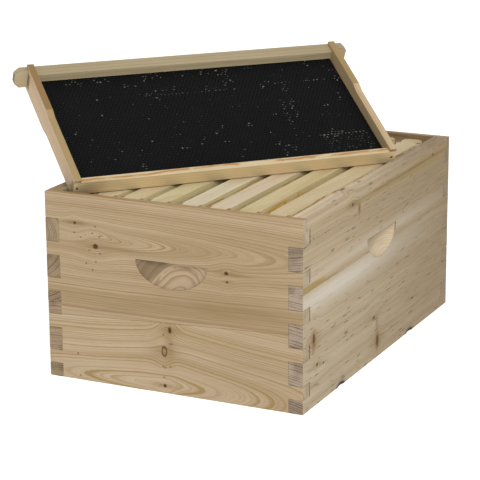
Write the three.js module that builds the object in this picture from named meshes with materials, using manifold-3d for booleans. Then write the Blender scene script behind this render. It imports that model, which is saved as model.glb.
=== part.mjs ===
// A Langstroth deep hive box for eight frames: four finger-jointed boards, seven
// frames hanging inside on the rebates of the end boards, and one more frame that
// stands across the open top, leaning back.
//
// Millimetres, +Z up. The short front board faces -Y and the frames run along Y.
// The origin is the middle of the front board's bottom edge.

import * as THREE from "three";
import { mergeVertices } from "three/addons/utils/BufferGeometryUtils.js";
import Module from "manifold-3d";

const wasm = await Module();
wasm.setup();

const degrees = THREE.MathUtils.degToRad;
const half = (value) => value / 2;

// Box
const BOX_WIDTH = 355.6;
const BOX_LENGTH = 504.8;
const BOX_HEIGHT = 244.5;
const BOARD = 19;
const REBATE_DEPTH = 16;
const REBATE_LIP = 9.5;

// Finger joints, as levels from the bottom edge. The side boards' fingers start at
// the bottom edge, and the end boards' fingers fill the levels between them.
const LOWEST_FINGER = 18;
const FINGER = 30;
const FINGER_STARTS = [36, 84, 132, 180];
const JOINT_GAP = 0.2;
const SOCKET_OVERCUT = 2.6;

// Handhold: a scoop that is half an ellipse on the board's face, flat along its top.
const HANDHOLD_TOP = 170.5;
const HANDHOLD_HEIGHT = 34.5;
const HANDHOLD_WIDTH = 100;
const HANDHOLD_DEPTH = 11;

// Each board is glued up from two planks. A seam is given by its level at either
// end of the board, left and right as seen from outside.
const FRONT_SEAM = [85, 100.5];
const BACK_SEAM = [100, 106];
const RIGHT_SEAM = [152, 152];
const LEFT_SEAM = [97, 101];

// Splinters missing along the right board's lower outer edge: their places and half size.
const RIGHT_CHIPS = [-135, 105];
const CHIP = [9, 1.6, 4];

// Frames
const TOP_BAR_LENGTH = 482.6;
const TOP_BAR_WIDTH = 27;
const TOP_BAR_THICKNESS = 19;
const LUG_THICKNESS = 9.5;
const LUG_CHAMFER = 6.5;
const FRAME_DEPTH = 231.8;
const FRAME_SPREAD = 447.7;
const END_BAR = 9.5;
const END_BAR_WIDE = 34.9;
const END_BAR_NARROW = 28.6;
const SHOULDER_DROP = 109;
const SHOULDER_RAMP = 14;
const PRONG = 6.5;
const BOTTOM_BAR_WIDTH = 19;
const BOTTOM_BAR = 9.5;
const GROOVE_WIDTH = 3.6;
const GROOVE_DEPTH = 3.2;
const SHEET = 3;
const SHEET_END_GAP = 1.5;
const FIT = 0.3;

// Wire nails in the leaning frame
const NAIL_RADIUS = 0.8;
const NAIL_HEAD_RADIUS = 1.6;
const NAIL_HEAD = 0.6;
const NAIL_SIDES = 10;
const FOOT_NAIL = 30;
const TOP_NAIL = 38;
const SIDE_NAIL = 8;
const SIDE_NAIL_LEVEL = 13;
const SIDE_NAIL_OFFSET = 4;

// Where the frames are. The leaning frame's bottom bar lies over the hanging top bars,
// and its end bars reach down past them: the left one into the empty slot, the right
// one between the first frame and the right board.
const HUNG_TOP = 238.15;
const HUNG_CENTRES = [129.8, 90, 50, 11, -32.5, -71, -108.5];
const LEAN_HEADING = degrees(47.81);
const LEAN_BACK = degrees(61.42);
const LEAN_FOOT = new THREE.Vector3(-146.2, -238.25, 235);

const CEDAR = { color: 0xc9a57c, roughness: 0.66, metalness: 0 };
const PINE = { color: 0xd3bb92, roughness: 0.62, metalness: 0 };
const FRAME_WOOD = { color: 0xdcc79f, roughness: 0.58, metalness: 0 };
const BLACK_PLASTIC = { color: 0x141516, roughness: 0.45, metalness: 0 };
const STEEL = { color: 0x77726a, roughness: 0.4, metalness: 0.9 };

function solidOf(geometry) {
  const bare = geometry.clone();
  bare.deleteAttribute("normal");
  bare.deleteAttribute("uv");
  const merged = mergeVertices(bare, 1e-4);
  const mesh = new wasm.Mesh({
    numProp: 3,
    vertProperties: new Float32Array(merged.attributes.position.array),
    triVerts: new Uint32Array(merged.index.array),
  });
  return new wasm.Manifold(mesh);
}

function geometryOf(solid) {
  const { vertProperties, triVerts } = solid.getMesh();
  const geometry = new THREE.BufferGeometry();
  geometry.setAttribute("position", new THREE.BufferAttribute(vertProperties, 3));
  geometry.setIndex(new THREE.BufferAttribute(triVerts, 1));
  geometry.computeVertexNormals();
  return geometry;
}

function named(name, solid, look) {
  const mesh = new THREE.Mesh(geometryOf(solid), new THREE.MeshStandardMaterial(look));
  mesh.name = name;
  return mesh;
}

// A block between two opposite corners, given in any order.
function block(from, to) {
  const size = from.map((value, axis) => Math.abs(to[axis] - value));
  const middle = from.map((value, axis) => half(value + to[axis]));
  return solidOf(new THREE.BoxGeometry(...size).translate(...middle));
}

// An outline in X and Y, extruded from Z = 0 to the given thickness.
function slab(outline, thickness) {
  const shape = new THREE.Shape(outline.map(([x, y]) => new THREE.Vector2(x, y)));
  return new THREE.ExtrudeGeometry(shape, { depth: thickness, bevelEnabled: false });
}

// A round rod along Z, from one level to another.
function rod(radius, from, to) {
  const cylinder = new THREE.CylinderGeometry(radius, radius, to - from, NAIL_SIDES);
  return cylinder.rotateX(half(Math.PI)).translate(0, 0, half(from + to));
}

// ---- The box ----

// Levels at a corner where the side boards keep their wood.
function sideFingers() {
  return [[0, LOWEST_FINGER], ...FINGER_STARTS.map((start) => [start, start + FINGER])];
}

// Levels at a corner where the end boards keep their wood.
function endFingers() {
  const sides = sideFingers();
  return sides.map(([, top], i) => [top, i + 1 < sides.length ? sides[i + 1][0] : BOX_HEIGHT]);
}

// A board in its own frame: X along it, Y inwards from its outer face, Z up, with
// sockets for the neighbours' fingers cut out of both ends.
function socketedBoard(length, socketLevels, socketDepth) {
  let board = block([-half(length), 0, 0], [half(length), BOARD, BOX_HEIGHT]);
  for (const [low, high] of socketLevels) {
    for (const side of [-1, 1]) {
      const socket = block(
        [side * (half(length) - socketDepth), -1, low - JOINT_GAP],
        [side * (half(length) + 1), BOARD + 1, high + JOINT_GAP],
      );
      board = board.subtract(socket);
    }
  }
  return board;
}

// The scoop that fingers reach into, in a board's own frame.
function handhold() {
  const bowl = new THREE.SphereGeometry(1, 48, 24);
  bowl.scale(half(HANDHOLD_WIDTH), HANDHOLD_DEPTH, HANDHOLD_HEIGHT);
  bowl.translate(0, 0, HANDHOLD_TOP);
  const underTop = block([-HANDHOLD_WIDTH, -BOARD, 0], [HANDHOLD_WIDTH, BOARD, HANDHOLD_TOP]);
  return solidOf(bowl).intersect(underTop);
}

// Hollows where splinters have broken off a board's lower outer edge.
function chips(places) {
  const hollow = new THREE.SphereGeometry(1, 10, 6).scale(...CHIP);
  return places.map((place) => solidOf(hollow.clone().translate(place, 0, 0)));
}

// Splits a board along its glue line into a lower and an upper plank.
function planks(board, length, [leftLevel, rightLevel]) {
  const reach = half(length) + 10;
  const slope = (rightLevel - leftLevel) / (length - 2 * BOARD);
  const under = (gap) => {
    const level = (x) => half(leftLevel + rightLevel) + slope * x + gap;
    const outline = [[-reach, -10], [reach, -10], [reach, level(reach)], [-reach, level(-reach)]];
    const cutter = slab(outline, BOARD + 20);
    return solidOf(cutter.rotateX(half(Math.PI)).translate(0, BOARD + 10, 0));
  };
  return {
    lower: board.intersect(under(-half(JOINT_GAP))),
    upper: board.subtract(under(half(JOINT_GAP))),
  };
}

// The front and back boards carry the rebate that the frames' lugs hang on.
function endBoard(seam) {
  const rebate = block(
    [-BOX_WIDTH, REBATE_LIP, BOX_HEIGHT - REBATE_DEPTH],
    [BOX_WIDTH, BOARD + 1, BOX_HEIGHT + 1],
  );
  const board = socketedBoard(BOX_WIDTH, sideFingers(), BOARD + JOINT_GAP);
  return planks(board.subtract(rebate).subtract(handhold()), BOX_WIDTH, seam);
}

// The side boards reach into both ends of the rebates and close them.
function sideBoard(seam, chipPlaces) {
  let board = socketedBoard(BOX_LENGTH, endFingers(), BOARD + SOCKET_OVERCUT);
  for (const side of [-1, 1]) {
    const tongue = block(
      [side * (half(BOX_LENGTH) - REBATE_LIP - JOINT_GAP), 0, BOX_HEIGHT - REBATE_DEPTH + JOINT_GAP],
      [side * (half(BOX_LENGTH) - 2 * BOARD), BOARD, BOX_HEIGHT],
    );
    board = board.add(tongue);
  }
  for (const chip of chips(chipPlaces)) {
    board = board.subtract(chip);
  }
  return planks(board.subtract(handhold()), BOX_LENGTH, seam);
}

function boardPair(name, { lower, upper }, look, turn, outerFace) {
  const pair = new THREE.Group();
  pair.add(named(`${name}_lower`, lower, look), named(`${name}_upper`, upper, look));
  pair.rotation.z = turn;
  pair.position.set(...outerFace, 0);
  return pair;
}

function box() {
  const quarterTurn = half(Math.PI);
  const group = new THREE.Group();
  group.add(
    boardPair("front_board", endBoard(FRONT_SEAM), CEDAR, 0, [0, -half(BOX_LENGTH)]),
    boardPair("back_board", endBoard(BACK_SEAM), CEDAR, Math.PI, [0, half(BOX_LENGTH)]),
    boardPair("right_board", sideBoard(RIGHT_SEAM, RIGHT_CHIPS), PINE, quarterTurn, [half(BOX_WIDTH), 0]),
    boardPair("left_board", sideBoard(LEFT_SEAM, []), PINE, -quarterTurn, [-half(BOX_WIDTH), 0]),
  );
  return group;
}

// ---- A frame: X along its top bar, Y across it, Z up from the end bars' feet ----

// Mirrors one quarter of an outline, given from its middle to its end, into all four.
function fourQuarters(quarter) {
  return [
    ...quarter.map(([x, y]) => [x, -y]),
    ...quarter.map(([x, y]) => [x, y]).reverse(),
    ...quarter.map(([x, y]) => [-x, y]),
    ...quarter.map(([x, y]) => [-x, -y]).reverse(),
  ];
}

function topBar() {
  const underside = FRAME_DEPTH - TOP_BAR_THICKNESS;
  const end = half(TOP_BAR_LENGTH);
  const side = half(TOP_BAR_WIDTH);
  const neck = half(END_BAR_WIDE) - PRONG - FIT;
  const neckStart = half(FRAME_SPREAD) - END_BAR - FIT;
  const neckEnd = half(FRAME_SPREAD) + FIT;
  const outline = fourQuarters([
    [neckStart, side],
    [neckStart, neck],
    [neckEnd, neck],
    [neckEnd, side],
    [end - LUG_CHAMFER, side],
    [end, side - LUG_CHAMFER],
  ]);
  let bar = solidOf(slab(outline, TOP_BAR_THICKNESS).translate(0, 0, underside));
  for (const direction of [-1, 1]) {
    const belowLug = block(
      [direction * half(FRAME_SPREAD), -side - 1, underside - 1],
      [direction * (end + 1), side + 1, FRAME_DEPTH - LUG_THICKNESS],
    );
    bar = bar.subtract(belowLug);
  }
  const groove = block(
    [-neckStart + 1, -half(GROOVE_WIDTH), underside - 1],
    [neckStart - 1, half(GROOVE_WIDTH), underside + GROOVE_DEPTH],
  );
  return bar.subtract(groove);
}

// The right end bar. Its top is notched for the top bar, its foot for the bottom bar.
function endBar() {
  const narrow = half(END_BAR_NARROW);
  const wide = half(END_BAR_WIDE);
  const shoulder = FRAME_DEPTH - SHOULDER_DROP;
  const ear = half(BOTTOM_BAR_WIDTH) + FIT;
  const halfOutline = [
    [ear, BOTTOM_BAR + FIT],
    [ear, 0],
    [narrow, 0],
    [narrow, shoulder],
    [wide, shoulder + SHOULDER_RAMP],
    [wide, FRAME_DEPTH],
    [wide - PRONG, FRAME_DEPTH],
    [wide - PRONG, FRAME_DEPTH - TOP_BAR_THICKNESS - FIT],
  ];
  const mirrored = halfOutline.map(([y, z]) => [-y, z]).reverse();
  const bar = slab([...halfOutline, ...mirrored], END_BAR);
  bar.rotateX(half(Math.PI)).rotateZ(half(Math.PI));
  return solidOf(bar.translate(half(FRAME_SPREAD) - END_BAR, 0, 0));
}

function bottomBar() {
  const bar = block(
    [-half(FRAME_SPREAD), -half(BOTTOM_BAR_WIDTH), 0],
    [half(FRAME_SPREAD), half(BOTTOM_BAR_WIDTH), BOTTOM_BAR],
  );
  const grooveEnd = half(FRAME_SPREAD) - END_BAR - SHEET_END_GAP + FIT;
  const groove = block(
    [-grooveEnd, -half(GROOVE_WIDTH), BOTTOM_BAR - GROOVE_DEPTH],
    [grooveEnd, half(GROOVE_WIDTH), BOTTOM_BAR + 1],
  );
  return bar.subtract(groove);
}

// The sheet of foundation, held in the grooves of the top and bottom bars.
function foundation() {
  const end = half(FRAME_SPREAD) - END_BAR - SHEET_END_GAP;
  return block(
    [-end, -half(SHEET), BOTTOM_BAR - GROOVE_DEPTH + FIT],
    [end, half(SHEET), FRAME_DEPTH - TOP_BAR_THICKNESS + GROOVE_DEPTH - FIT],
  );
}

function turnedAround(solid) {
  return solidOf(geometryOf(solid).rotateZ(Math.PI));
}

// The wooden bars and the sheet. First and last name the two end bars.
function frameSolids(first, last) {
  return {
    top_bar: topBar(),
    [`${first}_end_bar`]: turnedAround(endBar()),
    [`${last}_end_bar`]: endBar(),
    bottom_bar: bottomBar(),
    foundation: foundation(),
  };
}

function frameMeshes(name, solids) {
  return Object.entries(solids).map(([piece, solid]) => {
    const look = piece === "foundation" ? BLACK_PLASTIC : FRAME_WOOD;
    return named(`${name}_${piece}`, solid, look);
  });
}

function hungFrame(number, centre) {
  const group = new THREE.Group();
  group.add(...frameMeshes(`hung_frame_${number}`, frameSolids("front", "back")));
  group.rotation.z = half(Math.PI);
  group.position.set(centre, 0, HUNG_TOP - FRAME_DEPTH);
  return group;
}

// A nail in its own frame: its head's flat top is at Z = 0 and its shank points down.
function nail(length, clearance) {
  const head = solidOf(rod(NAIL_HEAD_RADIUS + clearance, -NAIL_HEAD - clearance, clearance));
  const shank = solidOf(rod(NAIL_RADIUS + clearance, -length - clearance, -half(NAIL_HEAD)));
  return head.add(shank);
}

// The leaning frame's nails on its right end. Each has the place of its head, the
// turn about Y that points its head outwards, and its length.
function rightNails() {
  const overEndBar = half(FRAME_SPREAD) - half(END_BAR);
  const sideNailHead = [half(FRAME_SPREAD), -SIDE_NAIL_OFFSET, SIDE_NAIL_LEVEL];
  return {
    top_nail: { at: [overEndBar, 0, FRAME_DEPTH], turn: 0, length: TOP_NAIL },
    foot_nail: { at: [overEndBar, 0, 0], turn: Math.PI, length: FOOT_NAIL },
    side_nail: { at: sideNailHead, turn: half(Math.PI), length: SIDE_NAIL },
  };
}

function placedNail({ at, turn, length }, clearance) {
  const shape = geometryOf(nail(length, clearance));
  return solidOf(shape.rotateY(turn).translate(...at));
}

function leaningFrame() {
  const solids = frameSolids("left", "right");
  const nails = {};
  for (const [kind, place] of Object.entries(rightNails())) {
    nails[`right_${kind}`] = placedNail(place, 0);
    nails[`left_${kind}`] = turnedAround(nails[`right_${kind}`]);
    const hole = placedNail(place, FIT);
    for (const cut of [hole, turnedAround(hole)]) {
      for (const bar of ["top_bar", "left_end_bar", "right_end_bar", "bottom_bar"]) {
        solids[bar] = solids[bar].subtract(cut);
      }
    }
  }
  const group = new THREE.Group();
  group.add(...frameMeshes("leaning_frame", solids));
  for (const [kind, solid] of Object.entries(nails)) {
    group.add(named(`leaning_frame_${kind}`, solid, STEEL));
  }
  group.rotation.set(-LEAN_BACK, 0, LEAN_HEADING, "ZYX");
  const lowestCorner = new THREE.Vector3(-half(FRAME_SPREAD), half(END_BAR_NARROW), 0);
  group.position.copy(LEAN_FOOT).sub(lowestCorner.applyEuler(group.rotation));
  return group;
}

const hive = new THREE.Group();
hive.add(box(), leaningFrame());
HUNG_CENTRES.forEach((centre, i) => hive.add(hungFrame(i + 1, centre)));
hive.position.y = half(BOX_LENGTH) - half(BOARD);

export default hive;
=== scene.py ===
"""An eight-frame Langstroth hive box: seven frames hang in it and an eighth leans across its open top."""

import math
import random
from dataclasses import dataclass, field

import bmesh
import bpy
from mathutils import Matrix, Vector


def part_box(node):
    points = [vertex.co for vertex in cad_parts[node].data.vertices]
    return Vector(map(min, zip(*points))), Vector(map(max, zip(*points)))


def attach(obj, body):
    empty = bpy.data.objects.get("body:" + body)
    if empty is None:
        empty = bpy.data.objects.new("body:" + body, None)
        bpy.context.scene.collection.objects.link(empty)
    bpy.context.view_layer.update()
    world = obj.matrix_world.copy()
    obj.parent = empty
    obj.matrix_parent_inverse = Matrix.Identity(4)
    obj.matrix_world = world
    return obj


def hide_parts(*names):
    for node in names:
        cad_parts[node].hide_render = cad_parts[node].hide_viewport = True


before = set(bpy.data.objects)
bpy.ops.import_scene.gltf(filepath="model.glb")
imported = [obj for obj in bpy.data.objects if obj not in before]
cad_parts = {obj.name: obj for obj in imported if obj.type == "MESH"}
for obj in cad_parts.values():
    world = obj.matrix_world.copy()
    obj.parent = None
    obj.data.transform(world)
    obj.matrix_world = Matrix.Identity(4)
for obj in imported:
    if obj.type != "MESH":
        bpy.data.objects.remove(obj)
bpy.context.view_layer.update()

MM = 0.001
LEANING = "leaning_frame"
HUNG_FRAMES = 7
LEAN_HEADING = math.radians(47.81)
LEAN_BACK = math.radians(61.42)

# The camera stands at the front right corner, a little above the box.
CAMERA_PLACE = (1.0654, -2.0046, 0.8261)
CAMERA_HEADING = math.radians(25.94)
CAMERA_DROP = math.radians(15.489)
CAMERA_ROLL = math.radians(-0.444)
CAMERA_LENS = 143.82

EDGE_ROUNDING = 0.5 * MM
EDGE_SEGMENTS = 2
EDGE_ANGLE = math.radians(35)
WELD_DISTANCE = 0.01 * MM

# A cell is a hexagonal pit, in mm. A fine one has a ring between its rim and its bottom, in shares of both.
CELL_SIDES = 6
CELL_WIDTH = 5.3
CELL_DEPTH = 1.1
CELL_RING = 0.8
CELL_RING_DEPTH = 0.85
CELL_RADIUS = CELL_WIDTH / math.sqrt(3)
ROW_STEP = 1.5 * CELL_RADIUS
CELL_MERGE = 0.02 * MM
CELL_SMALLEST_EDGE = 0.01 * MM


# ---------------------------------------------------------------- node graphs

# The colour sockets of a Mix node, which has others of the same names.
MIX_FIRST = 6
MIX_SECOND = 7
MIX_RESULT = 2


def tint(red, green, blue, light=1.0):
    """The colour of a surface that looks like this sRGB colour, from 0 to 255, under that much light."""
    def linear(channel):
        share = channel / 255
        return (share / 12.92 if share <= 0.04045 else ((share + 0.055) / 1.055) ** 2.4) / light
    return (linear(red), linear(green), linear(blue), 1.0)


class Value:
    """A number that changes over a surface. Arithmetic with it adds Math nodes."""

    def __init__(self, surface, socket):
        self.surface = surface
        self.socket = socket

    def __add__(self, other):
        return self.surface.math("ADD", self, other)

    def __sub__(self, other):
        return self.surface.math("SUBTRACT", self, other)

    def __mul__(self, other):
        return self.surface.math("MULTIPLY", self, other)

    def __truediv__(self, other):
        return self.surface.math("DIVIDE", self, other)

    def size(self):
        return self.surface.math("ABSOLUTE", self)

    def squared(self):
        return self.surface.math("MULTIPLY", self, self)

    def root(self):
        return self.surface.math("SQRT", self)

    def fraction(self):
        return self.surface.math("FRACT", self)

    def fading(self):
        """A bell curve: 1 where the value is 0, and nearly 0 from 2 outwards."""
        return self.surface.math("EXPONENT", self.squared() * -1)

    def ramp(self, low, high):
        """0 below low and 1 above high, or the reverse where low is the larger."""
        node = self.surface.add("ShaderNodeMapRange", interpolation_type="SMOOTHSTEP")
        self.surface.put(self, node.inputs["Value"])
        turned = low > high
        node.inputs["From Min"].default_value = min(low, high)
        node.inputs["From Max"].default_value = max(low, high)
        node.inputs["To Min"].default_value = 1.0 if turned else 0.0
        node.inputs["To Max"].default_value = 0.0 if turned else 1.0
        return Value(self.surface, node.outputs["Result"])


class Surface:
    """One material and the nodes that make it."""

    def __init__(self, name):
        self.material = bpy.data.materials.new(name)
        self.material.use_nodes = True
        self.tree = self.material.node_tree
        self.shader = self.tree.nodes["Principled BSDF"]

    def add(self, kind, **settings):
        node = self.tree.nodes.new(kind)
        for setting, value in settings.items():
            setattr(node, setting, value)
        return node

    def put(self, value, socket):
        if isinstance(value, Value):
            self.tree.links.new(value.socket, socket)
        elif isinstance(value, bpy.types.NodeSocket):
            self.tree.links.new(value, socket)
        else:
            socket.default_value = value

    def math(self, operation, *values):
        node = self.add("ShaderNodeMath", operation=operation)
        for value, socket in zip(values, node.inputs):
            self.put(value, socket)
        return Value(self, node.outputs["Value"])

    def larger(self, first, second):
        return self.math("MAXIMUM", first, second)

    def mapped(self, vector, kind="POINT", place=(0, 0, 0), turn=(0, 0, 0), scale=(1, 1, 1)):
        node = self.add("ShaderNodeMapping", vector_type=kind)
        self.put(vector, node.inputs["Vector"])
        node.inputs["Location"].default_value = place
        node.inputs["Rotation"].default_value = turn
        node.inputs["Scale"].default_value = scale
        return node.outputs["Vector"]

    def millimetres(self, place):
        """The surface point in a piece's own frame, in millimetres."""
        turn = place.to_euler()
        return self.mapped(self.object_point(), "TEXTURE", place.to_translation(), turn, (MM, MM, MM))

    def object_point(self):
        """The surface point in the object's own frame, in metres."""
        return self.add("ShaderNodeTexCoord").outputs["Object"]

    def facing(self, direction):
        """How squarely the surface faces a direction or its opposite, from 0 to 1."""
        normal = self.add("ShaderNodeTexCoord").outputs["Normal"]
        node = self.add("ShaderNodeVectorMath", operation="DOT_PRODUCT")
        self.put(normal, node.inputs[0])
        node.inputs[1].default_value = direction
        return Value(self, node.outputs["Value"]).size()

    def split(self, vector):
        node = self.add("ShaderNodeSeparateXYZ")
        self.put(vector, node.inputs[0])
        return [Value(self, socket) for socket in node.outputs]

    def noise(self, vector, stretch=(1, 1, 1), shift=(0, 0, 0), detail=2.0, roughness=0.5):
        """Smooth noise round 0.5, one lump to each 1 / stretch units of the vector."""
        node = self.add("ShaderNodeTexNoise")
        self.put(self.mapped(vector, place=shift, scale=stretch), node.inputs["Vector"])
        node.inputs["Scale"].default_value = 1.0
        node.inputs["Detail"].default_value = detail
        node.inputs["Roughness"].default_value = roughness
        return Value(self, node.outputs[0])

    def noise_along(self, value, detail=1.0):
        """Noise that changes with one number."""
        node = self.add("ShaderNodeTexNoise", noise_dimensions="1D")
        self.put(value, node.inputs["W"])
        node.inputs["Scale"].default_value = 1.0
        node.inputs["Detail"].default_value = detail
        return Value(self, node.outputs[0])

    def cells(self, vector, stretch):
        """Distance from the nearest of a scatter of points, about one to each 1 / stretch units."""
        node = self.add("ShaderNodeTexVoronoi")
        self.put(self.mapped(vector, scale=stretch), node.inputs["Vector"])
        node.inputs["Scale"].default_value = 1.0
        return Value(self, node.outputs["Distance"])

    def reach(self, vector, centre, radii):
        """Distance from a centre in the XZ plane, 1 on an ellipse of those radii."""
        moved = self.mapped(vector, "TEXTURE", (centre[0], 0, centre[1]), scale=(radii[0], 1, radii[1]))
        node = self.add("ShaderNodeVectorMath", operation="LENGTH")
        self.put(moved, node.inputs[0])
        return Value(self, node.outputs["Value"])

    def mix(self, share, first, second):
        node = self.add("ShaderNodeMix", data_type="RGBA", clamp_factor=True)
        self.put(share, node.inputs["Factor"])
        self.put(first, node.inputs[MIX_FIRST])
        self.put(second, node.inputs[MIX_SECOND])
        return node.outputs[MIX_RESULT]

    def bump(self, height, depth):
        node = self.add("ShaderNodeBump")
        self.put(height, node.inputs["Height"])
        node.inputs["Distance"].default_value = depth
        node.inputs["Strength"].default_value = 1.0
        self.put(node.outputs["Normal"], self.shader.inputs["Normal"])

    def finish(self, colour, roughness, gloss=0.35):
        self.put(colour, self.shader.inputs["Base Color"])
        self.put(roughness, self.shader.inputs["Roughness"])
        self.shader.inputs["Specular IOR Level"].default_value = gloss
        return self.material


# ---------------------------------------------------------------- wood

@dataclass
class Knot:
    """A branch cut across: its centre and full size in mm, and how far the lines bend round it."""
    x: float
    z: float
    wide: float
    high: float
    bend: float = 3.0
    ringed: bool = False


@dataclass
class StainAndShade:
    """A soft patch of another colour, with its radii in mm. Most are marks in the wood itself; those in the
    shade and chip colours are painted shade and painted shadow.
    """
    x: float
    z: float
    wide: float
    high: float
    colour: tuple
    strength: float
    sharp: bool = False


@dataclass
class Scoop:
    """The wood inside a handhold: rings round a centre, and painted shade on the side left of a slanting
    line.
    """
    light: tuple
    dark: tuple
    shade: tuple
    x: float
    z: float
    ring: float
    banding: float
    shade_from: float
    tilt: float
    soft: float


@dataclass
class EdgeFace:
    """Other colours on the faces across the board, above and below a level along the grain."""
    above: tuple
    below: tuple
    level: float = 0.0
    line: tuple = ()


@dataclass
class Plank:
    """One plank's wood, in mm in its own frame: x along the grain, y into the wood, z up the face."""
    light: tuple
    dark: tuple
    end_light: tuple
    end_dark: tuple
    pith: tuple = (0, 0, -60)
    taper: float = 0.02
    flare: float = 0.0
    rise: float = 0.0
    ring: float = 3.4
    wander: float = 4.0
    contrast: float = 0.6
    crests: tuple = ()
    seed: float = 0.0
    spread: float = 0.0
    flecks: float = 0.0
    ripple: float = 0.0
    rim: tuple = ()
    scoop: Scoop = None
    edge: EdgeFace = None
    knots: list = field(default_factory=list)
    pins: list = field(default_factory=list)
    stains_and_shade: list = field(default_factory=list)


MARK_LEVEL = 1.4
KNOT_CORE = tint(84, 50, 18, MARK_LEVEL)
KNOT_HALO = tint(142, 112, 62, MARK_LEVEL)
KNOT_ORANGE = tint(134, 92, 32, MARK_LEVEL)
PIN_BROWN = tint(104, 72, 48, MARK_LEVEL)
FLECK_BROWN = tint(104, 70, 32, MARK_LEVEL)

HANDHOLD_CENTRE = (0, 152)
HANDHOLD_RADII = (75, 40)
HANDHOLD_SKIN = (0.15, 0.5)
HANDHOLD_BACK = (17.0, 15.0)

# Noise is stretched along x, the grain. Pairs are where a value starts to count and where it counts in full.
STRAY_STRETCH = (0.004, 0.012, 0.012)
STRAY_REACH = 4
KNOT_PULL = 0.75
CREST_RISE = (0, 60)
FLARE_UNIT = 10000

RING_DRIFT_STEP = 0.16
RING_DRIFT = 3.0
RING_JITTER = 0.35
RING_LATE = (0.35, 0.9)
RING_END = (1.0, 0.93)
RING_STRENGTH_STEP = 0.45
RING_STRENGTH_SEED = 7.3
RING_STRENGTH = (0.3, 0.68)
RING_FAINTEST = 0.15

HALO_REACH = (3.2, 0.7)
HALO_SHARE = 0.6
KNOT_RAGGED = 0.6
KNOT_GRAIN = (0.4, 0.4, 0.4)
KNOT_EDGE = (1.25, 0.6)
KNOT_RIM_INSIDE = (0.5, 0.8)
KNOT_RIM_OUTSIDE = (1.35, 0.95)
KNOT_RIM_SHARE = 0.85
KNOT_HEART = (0.9, 0.5)
KNOT_HEART_SHARE = 0.35
PIN_RADII = (1.5, 1.3)
PIN_EDGE = (1.3, 0.4)
PIN_SHARE = 0.8

STAIN_AND_SHADE_STRETCH = (0.015, 0.25, 0.25)
STAIN_AND_SHADE_LEAST = 0.45
STAIN_AND_SHADE_RAGGED = 0.5
STAIN_AND_SHADE_EDGE = (1.05, 0.8)

FLECK_STRETCH = (0.03, 0.1, 0.3)
FLECK_EDGE = (0.3, 0.14)
FLECK_FIELD = (0.03, 0.06, 0.06)
FLECK_SPARSE = (0.4, 0.58)

SCOOP_GRAIN = (0.04, 0.04, 0.04)
SCOOP_STRAY = 0.8
SCOOP_DRIFT_STEP = 0.7
SCOOP_DRIFT = 2.2
SCOOP_LATE = (0.3, 0.85)
SCOOP_END = (1.0, 0.9)
SCOOP_SHADE = 0.7
SCOOP_OUTLINE = (1.02, 0.98)

EDGE_STEP = 0.7
EDGE_WAVE_STRETCH = (0.012, 0.012, 0.012)
EDGE_WAVE = 22
EDGE_BREAK_STRETCH = (0.035, 0.1, 0.1)
EDGE_BREAK = (0.36, 0.52)
EDGE_LINE_SHARE = 0.95

FACING = (0.7, 0.95)
END_FACING = (0.72, 0.95)
FIBRE_STRETCH = (0.03, 0.9, 0.9)
FIBRES = (0.45, 0.8)
FIBRE_SHARE = 0.25
BAND_STEP = 0.2
BAND_SEED = 3.1
BANDS = (0.4, 0.7)
BAND_SHARE = 0.45
LINE_STEP = 1.1
LINE_JITTER = 0.8
LINES = (0.45, 0.75)
LINE_SHARE = 0.5
PATCH_STRETCH = (0.005, 0.03, 0.03)
PATCHES = (0.35, 0.75)
PATCH_SHARE = 0.25
RIPPLE_JITTER = 3
RIPPLES = (-0.2, 1)
RIPPLE_SHARE = 0.6
SPECKLE_GRAIN = (0.5, 0.5, 0.5)
SPECKLES = (0.5, 0.75)
SPECKLE_SHARE = 0.25
BLOTCH_STRETCH = (0.01, 0.03, 0.03)
BLOTCHES = (0.4, 0.65)
BLOTCH_SHARE = 0.4
END_RING_SHARE = 0.8
GROOVE = -0.6
GROOVE_DEPTH = 0.12 * MM
FIBRE_ROUGHNESS = 0.25
WOOD_ROUGHNESS = 0.5
WOOD_GLOSS = 0.25


def ring_distance(surface, here, flat, plank):
    """Distance from the log's centre line, bent round each knot and over each crest."""
    along, depth, up = surface.split(here)
    run = along - plank.pith[0]
    height = up - plank.pith[2] - along * plank.rise
    for knot in plank.knots:
        bent = (knot.bend * knot.wide, knot.bend * knot.high)
        nearness = surface.reach(flat, (knot.x, knot.z), bent).fading()
        height = height - (up - knot.z) * nearness * KNOT_PULL
    for middle, width, lift in plank.crests:
        height = height - ((along - middle) / width).fading() * up.ramp(*CREST_RISE) * lift
    stray = surface.noise(here, STRAY_STRETCH, (plank.seed, 0, 0)) - 0.5
    height = height + stray * (STRAY_REACH * plank.wander)
    across = depth - plank.pith[1] + run * plank.taper
    if plank.flare:
        across = across + surface.larger(run, 0.0).squared() * (plank.flare / FLARE_UNIT)
    distance = (height.squared() + across.squared()).root()
    if plank.spread:
        distance = distance.root() * (2 * math.sqrt(plank.spread))
    return distance


def growth_rings(surface, distance, fibres, plank):
    """The dark late wood of each yearly ring, from 0 to 1."""
    uneven = surface.noise_along(distance * (RING_DRIFT_STEP / plank.ring) + plank.seed) * RING_DRIFT
    turn = (distance / plank.ring + uneven + (fibres - 0.5) * RING_JITTER).fraction()
    late = turn.ramp(*RING_LATE) * turn.ramp(*RING_END)
    along_log = distance * (RING_STRENGTH_STEP / plank.ring) + plank.seed + RING_STRENGTH_SEED
    strength = surface.noise_along(along_log).ramp(*RING_STRENGTH)
    return late * (strength * (1 - RING_FAINTEST) + RING_FAINTEST)


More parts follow.
